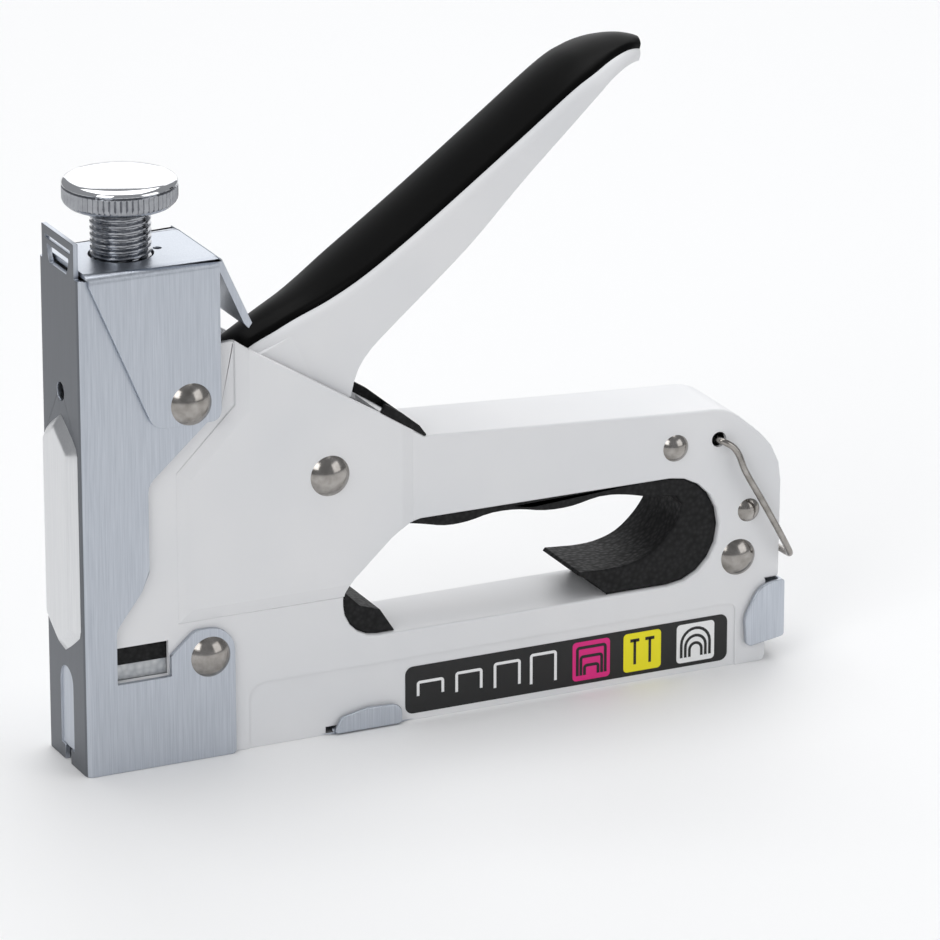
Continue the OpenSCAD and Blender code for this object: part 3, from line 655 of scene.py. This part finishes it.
# ---------------------------------------------------------------------------------------------
# Rubber parts. The finger loop's liner and corner piece are moulded soft rubber with a pebbled
# leather grain; the lever's stop pad is the same rubber. All are gripped between the shells.
# ---------------------------------------------------------------------------------------------
black_rubber, tree, surface, place = shader("black_pebbled_rubber",
                                            {"Roughness": 0.62, "Specular IOR Level": 0.3})
pebble = add(tree, "ShaderNodeTexVoronoi",
             {"Scale": 1 / (1.1 * mm), "feature": "SMOOTH_F1", "Smoothness": 0.4}, {"Vector": place})
tone = add(tree, "ShaderNodeValToRGB", {}, {"Fac": pebble.outputs["Distance"]})
tone.color_ramp.elements[0].color = linear("1B1B1C")
tone.color_ramp.elements[1].color = linear("0B0B0C")
tone.color_ramp.elements[1].position = 0.7
tree.links.new(tone.outputs["Color"], surface.inputs["Base Color"])
shine = add(tree, "ShaderNodeMapRange", {"To Min": 0.52, "To Max": 0.74},
            {"Value": pebble.outputs["Distance"]})
tree.links.new(shine.outputs["Result"], surface.inputs["Roughness"])
bump = add(tree, "ShaderNodeBump", {"Strength": 0.7, "Distance": 0.18 * mm, "invert": True},
           {"Height": pebble.outputs["Distance"]})
tree.links.new(bump.outputs["Normal"], surface.inputs["Normal"])


# the liner thins out in front of the first line, and below the floor line in front of the second
thin_front = 100
floor_front, floor_line = 134, 32


def liner_ease(a, b):
    """Full radius along the thick back of the liner, almost none where it thins out."""
    reach, height = (min(a.x, b.x) - nose_x) / mm, max(a.z, b.z) / mm
    thin = reach < thin_front or (reach < floor_front and height < floor_line)
    return 0.15 if thin or abs(a.y - b.y) > 1 * mm else 1.0


rubber_eases = [("grip_liner", 0.7, liner_ease), ("liner_corner", 0.5, None), ("stop_pad", 0.15, None)]
for node, ease, share in rubber_eases:
    rubber = settle(node + "_moulded", eased(node, ease, 3, 30, share, False), [black_rubber])
    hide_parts(node)
    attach(rubber, "frame")

# ---------------------------------------------------------------------------------------------
# Magazine clip and channel catch. Small formed tabs of the same brushed steel: the clip closes
# the back of the magazine and pulls the follower out, the catch holds the channel underneath.
# ---------------------------------------------------------------------------------------------
for node, body in (("magazine_clip", "pusher"), ("channel_catch", "frame")):
    tab = settle(node + "_formed", eased(node, 0.35, 3, 30), [brushed_steel])
    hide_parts(node)
    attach(tab, body)

# ---------------------------------------------------------------------------------------------
# Lock wire. A bail of 1.6 mm nickelled round wire: its ends turn in through a hole near the back
# of the bar, its legs flare past both sides and meet behind the grip.
# ---------------------------------------------------------------------------------------------
wire_r = 0.8
wire_y = 13.6
# one leg from the hole in the bar to the middle of the bend behind the grip
leg = [(163, 9.8, 58), (163, 11.5, 58), (163.9, 12.3, 57.6), (166.2, 12.8, 55.8), (168.7, wire_y, 50),
       (173.4, wire_y, 41.8), (180.2, wire_y, 29.3), (181.3, wire_y - 0.6, 27.3), (181.6, wire_y - 2, 26.8)]
curve = bpy.data.curves.new("lock_wire", "CURVE")
curve.dimensions = "3D"
curve.bevel_depth = wire_r * mm
curve.bevel_resolution = 5
curve.resolution_u = 10
curve.use_fill_caps = True
path = curve.splines.new("BEZIER")
course = [(x, -y, z) for x, y, z in leg] + [(x, y, z) for x, y, z in reversed(leg)]
path.bezier_points.add(len(course) - 1)
for knot, place_mm in zip(path.bezier_points, course):
    knot.co = at(*place_mm)
    knot.handle_left_type = "AUTO"
    knot.handle_right_type = "AUTO"
holder = bpy.data.objects.new("lock_wire_course", curve)
scene.collection.objects.link(holder)
wire_mesh = bpy.data.meshes.new_from_object(holder.evaluated_get(bpy.context.evaluated_depsgraph_get()))
bpy.data.objects.remove(holder)
bail = settle("lock_wire_bent", wire_mesh, [dark_nickel], 60)
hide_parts("lock_wire")
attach(bail, "bail")

# ---------------------------------------------------------------------------------------------
# Size labels. A black printed film in a shallow pocket on each side of the rail, with three
# coloured tiles that show the staple shapes as plain line pictures, and no words.
# ---------------------------------------------------------------------------------------------
def print_ink(name, dark, light, rough):
    """Screen print: an even ink with a very faint screen in its colour and shine."""
    finish, tree, surface, place = shader(name, {"Roughness": rough})
    screen = add(tree, "ShaderNodeTexNoise", {"Scale": 1 / (0.35 * mm), "Detail": 2.0}, {"Vector": place})
    tone = add(tree, "ShaderNodeValToRGB", {}, {"Fac": screen.outputs["Fac"]})
    tone.color_ramp.elements[0].color = linear(dark)
    tone.color_ramp.elements[1].color = linear(light)
    tree.links.new(tone.outputs["Color"], surface.inputs["Base Color"])
    shine = add(tree, "ShaderNodeMapRange", {"To Min": rough - 0.06, "To Max": rough + 0.06},
                {"Value": screen.outputs["Fac"]})
    tree.links.new(shine.outputs["Result"], surface.inputs["Roughness"])
    return finish


# glossy black film with coloured inks: flat, full colours with a soft shine
label_inks = [print_ink("label_film_black", "0A0A0B", "111112", 0.38),
              print_ink("print_magenta", "E2107A", "EA1E8A", 0.42),
              print_ink("print_yellow", "F5E800", "F9EE14", 0.42),
              print_ink("print_white", "F0F0F0", "F8F8F8", 0.42)]
BLACK, MAGENTA, YELLOW, WHITE = range(4)
FILM, TILE, LINE = range(3)
pocket_face = 10.4
layer_step = 0.05


def rounded_box(x0, x1, z0, z1, radius):
    """Corners of a rounded rectangle in the side view, anticlockwise."""
    line = []
    for cx, cz, start in ((x1 - radius, z0 + radius, -90), (x1 - radius, z1 - radius, 0),
                          (x0 + radius, z1 - radius, 90), (x0 + radius, z0 + radius, 180)):
        line += [(cx + radius * cos(radians(start + 15 * k)), cz + radius * sin(radians(start + 15 * k)))
                 for k in range(7)]
    return line


def stroke(points, width):
    """Outline of a drawn line of the width given, anticlockwise."""
    left, right = [], []
    last = len(points) - 1
    for i, point in enumerate(points):
        a = (Vector(points[i]) - Vector(points[max(i - 1, 0)]))
        b = (Vector(points[min(i + 1, last)]) - Vector(points[i]))
        a = a.normalized() if a.length else b.normalized()
        b = b.normalized() if b.length else a
        na, nb = Vector((-a.y, a.x)), Vector((-b.y, b.x))
        off = (na + nb) / (1 + na.dot(nb)) * width / 2
        left.append((point[0] + off.x, point[1] + off.y))
        right.append((point[0] - off.x, point[1] - off.y))
    return right + list(reversed(left))


def flat_staple(cx, top, wide, tall, round_by=0.6):
    """A flat-topped staple, from one leg's point over the crown to the other's."""
    half = wide / 2
    line = [(cx - half, top - tall), (cx - half, top - round_by)]
    line += [(cx - half + round_by * (1 - cos(a)), top - round_by * (1 - sin(a)))
             for a in (i * pi / 8 for i in range(1, 5))]
    line += [(2 * cx - x, z) for x, z in reversed(line)]
    return line


def arch_staple(cx, top, wide, tall):
    """A staple with a round crown."""
    half = wide / 2
    line = [(cx - half, top - tall)]
    line += [(cx - half * cos(a), top - half + half * sin(a)) for a in (i * pi / 12 for i in range(13))]
    return line + [(cx + half, top - tall)]


# every printed shape as its outline, ink and layer: the film, then three tiles, from front to back
pictures = [(rounded_box(81, 166, 1.6, 13.4, 2.0), BLACK, FILM)]
for front, back_end, ink in ((124.7, 134.6, MAGENTA), (138.2, 148.2, YELLOW), (152.4, 162.5, WHITE)):
    pictures.append((rounded_box(front, back_end, 2.6, 12.4, 1.0), ink, TILE))
# three flat staples inside one another, two nails, and three round staples inside one another
for k in range(3):
    staple = flat_staple(129.65, 10.9 - 2.3 * k, 7.4 - 1.9 * k, 7.0 - 2.3 * k)
    pictures.append((stroke(staple, 0.75), BLACK, LINE))
for cx in (141.2, 145.2):
    pictures.append((stroke([(cx, 10.6), (cx, 4.4)], 0.7), BLACK, LINE))
    pictures.append((stroke([(cx - 1.2, 10.5), (cx + 1.2, 10.5)], 0.8), BLACK, LINE))
for k in range(3):
    staple = arch_staple(157.45, 11.1 - 1.9 * k, 7.6 - 2.2 * k, 7.2 - 1.9 * k)
    pictures.append((stroke(staple, 0.7), BLACK, LINE))
# a row of four staples with longer and longer legs
for k, cx in enumerate((87.5, 97.5, 107.5, 117.0)):
    tall = 3.4 + 1.3 * k
    pictures.append((stroke(flat_staple(cx, 7.5 + tall / 2, 6.4, tall, 0.5), 0.7), WHITE, TILE))

label_work = bmesh.new()
for outline, ink, layer in pictures:
    for side_sign in (-1, 1):
        low = pocket_face + (0 if layer == FILM else layer_step * (layer + 1))
        high = pocket_face + layer_step * (layer + 2)
        ends = sorted((side_sign * low, side_sign * high))
        first = len(label_work.faces)
        scrap = slab("print", outline, ends[0], ends[1], 0.01)
        label_work.from_mesh(scrap)
        bpy.data.meshes.remove(scrap)
        label_work.faces.ensure_lookup_table()
        for face in label_work.faces[first:]:
            face.material_index = ink
label_mesh = bpy.data.meshes.new("size_labels_print")
label_work.to_mesh(label_mesh)
label_work.free()
slots_used = [polygon.material_index for polygon in label_mesh.polygons]
labels = settle("size_labels_print", label_mesh, label_inks)
labels.data.polygons.foreach_set("material_index", slots_used)
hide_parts("size_labels")
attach(labels, "frame")

# ---------------------------------------------------------------------------------------------
# Springs. The main spring of drawn steel wire stands between the screw's seat and the hammer, and
# shortens from below as the hammer lifts; a long fine one pushes the follower along the pusher rod.
# ---------------------------------------------------------------------------------------------
# bright drawn wire: a clear shine that is a little uneven along the draw
spring_steel, tree, surface, place = shader("drawn_spring_wire", {"Metallic": 1.0, "Roughness": 0.3})
drawn = add(tree, "ShaderNodeTexNoise", {"Scale": 1 / (0.8 * mm), "Detail": 2.0}, {"Vector": place})
tone = add(tree, "ShaderNodeValToRGB", {}, {"Fac": drawn.outputs["Fac"]})
tone.color_ramp.elements[0].color = linear("8D9095")
tone.color_ramp.elements[1].color = linear("B4B7BB")
tree.links.new(tone.outputs["Color"], surface.inputs["Base Color"])
shine = add(tree, "ShaderNodeMapRange", {"To Min": 0.24, "To Max": 0.38}, {"Value": drawn.outputs["Fac"]})
tree.links.new(shine.outputs["Result"], surface.inputs["Roughness"])

wire_points = 10
UPWARD, BACKWARD = range(2)


def coil(name, start, way, radius, wire, length, turns, steps):
    """A spring of round wire from a start point, in mm, with so many turns and steps to a turn."""
    rings = []
    for i in range(turns * steps + 1):
        a = 2 * pi * i / steps
        run = wire + (length - 2 * wire) * i / (turns * steps)
        ring = []
        for k in range(wire_points):
            b = 2 * pi * k / wire_points
            out, forward = radius + wire * cos(b), run + wire * sin(b)
            if way == UPWARD:
                spot = (out * cos(a), out * sin(a), forward)
            else:
                spot = (forward, out * cos(a), out * sin(a))
            ring.append(at(*(p + q for p, q in zip(start, spot))))
        rings.append(ring)
    return settle(name, skin(name, rings), [spring_steel], 60)


# each spring's first and last point along its axis, and how short it is at the end of the travel
main_low, main_high, main_keep = 60.1, 105.9, 0.498
main_length = main_high - main_low
main_spring = coil("main_spring_coil", (screw_axis, 0, main_low), UPWARD, 7.0, 1.0, main_length, 6, 24)
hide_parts("main_spring")
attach(main_spring, "frame")
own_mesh(main_spring)

push_front, push_back, push_keep = 26.2, 163.2, 0.27
rod_z = 8
push_length = push_back - push_front
pusher_spring = coil("pusher_spring_coil", (push_front, 0, rod_z), BACKWARD, 2.5, 0.35, push_length, 26, 16)
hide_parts("pusher_spring")
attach(pusher_spring, "pusher")
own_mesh(pusher_spring)

# ---------------------------------------------------------------------------------------------
# Inner works. The hammer, seat, nut, bush and roller are hardened steel with a dark oiled skin;
# blade, bracket, spacers, channel, rail, follower and rod are bent or turned and zinc plated.
# ---------------------------------------------------------------------------------------------
# oiled hardened steel: dark, cloudy and only half shiny
hardened, tree, surface, place = shader("hardened_oiled_steel", {"Metallic": 1.0, "Roughness": 0.42})
cloud = add(tree, "ShaderNodeTexNoise", {"Scale": 1 / (5 * mm), "Detail": 5.0}, {"Vector": place})
tone = add(tree, "ShaderNodeValToRGB", {}, {"Fac": cloud.outputs["Fac"]})
tone.color_ramp.elements[0].color = linear("4A4844")
tone.color_ramp.elements[1].color = linear("6B6863")
tree.links.new(tone.outputs["Color"], surface.inputs["Base Color"])
shine = add(tree, "ShaderNodeMapRange", {"To Min": 0.3, "To Max": 0.55}, {"Value": cloud.outputs["Fac"]})
tree.links.new(shine.outputs["Result"], surface.inputs["Roughness"])

# zinc plate: pale, with a fine spangle that breaks up its shine
zinc, tree, surface, place = shader("zinc_plated_steel", {"Metallic": 1.0, "Roughness": 0.34})
spangle = add(tree, "ShaderNodeTexVoronoi", {"Scale": 1 / (1.4 * mm)}, {"Vector": place})
grit = add(tree, "ShaderNodeTexNoise", {"Scale": 1 / (0.5 * mm), "Detail": 4.0}, {"Vector": place})
tone = add(tree, "ShaderNodeValToRGB", {}, {"Fac": spangle.outputs["Distance"]})
tone.color_ramp.elements[0].color = linear("C9CBCC")
tone.color_ramp.elements[1].color = linear("A5A8AC")
tree.links.new(tone.outputs["Color"], surface.inputs["Base Color"])
shine = add(tree, "ShaderNodeMapRange", {"To Min": 0.22, "To Max": 0.5}, {"Value": grit.outputs["Fac"]})
tree.links.new(shine.outputs["Result"], surface.inputs["Roughness"])
bump = add(tree, "ShaderNodeBump", {"Strength": 0.3, "Distance": 0.05 * mm}, {"Height": grit.outputs["Fac"]})
tree.links.new(bump.outputs["Normal"], surface.inputs["Normal"])

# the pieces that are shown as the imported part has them, under the finish that each gets
carried = [
    (hardened, ["cover_nut", "spring_seat", "plunger", "lift_roller", "pivot_bush"]),
    (zinc, ["driver_blade", "buffer_bracket", "rivet_spacers", "magazine_channel", "staple_rail",
            "staple_follower", "pusher_rod"]),
    (black_rubber, ["buffer_pad"]),
]
for finish, nodes in carried:
    for node in nodes:
        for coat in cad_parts[node].material_slots:
            coat.material = finish
